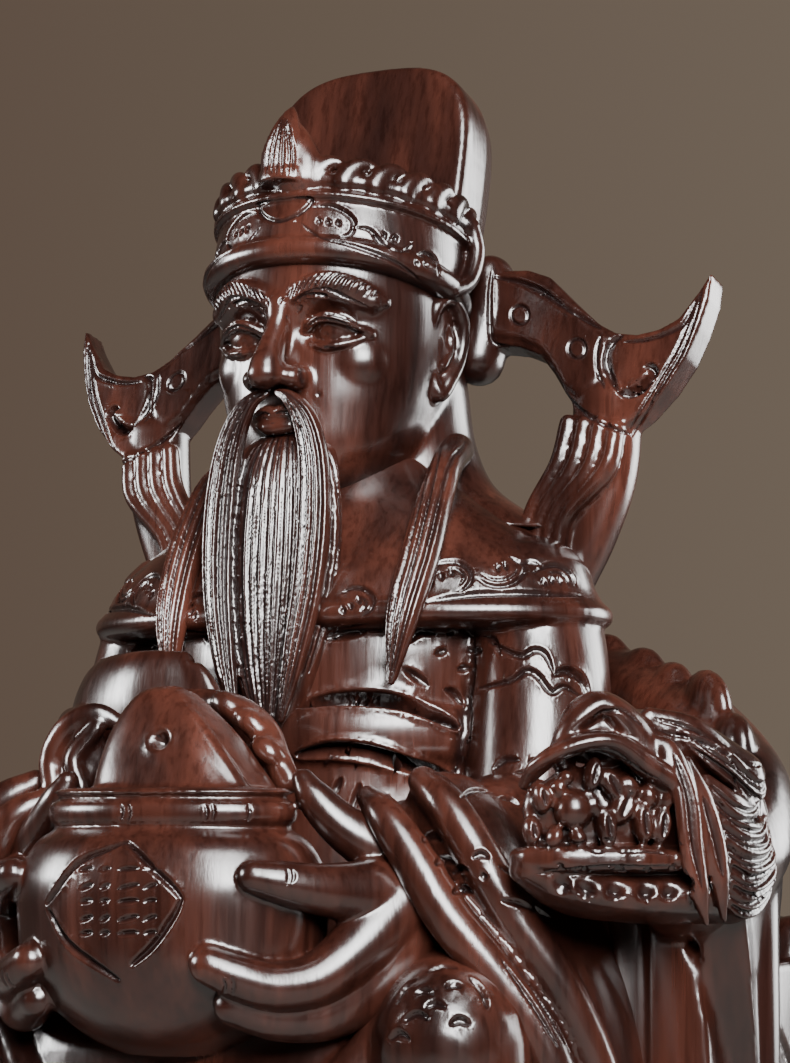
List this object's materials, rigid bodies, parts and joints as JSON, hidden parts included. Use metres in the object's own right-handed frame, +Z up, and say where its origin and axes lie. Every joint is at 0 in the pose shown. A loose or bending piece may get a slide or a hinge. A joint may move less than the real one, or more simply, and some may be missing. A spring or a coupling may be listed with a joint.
{
  "type": "seated wealth god figure",
  "caption": "Carved dark rosewood figure of a bearded official seated on a dragon-arm throne, holding a treasure bowl, on a low moulded base cut from the same block.",
  "frame": {"origin": "middle of the flat underside of the base", "axes": "+Z up, the figure faces -Y, +X is the figure's left"},
  "size_m": [0.3569, 0.2746, 0.5009],
  "materials": {
    "rosewood": "polished dark red-brown rosewood with a glossy wax"
  },
  "bodies": {
    "root": {"wealth_god_figure": "rosewood"}
  },
  "joints": []
}
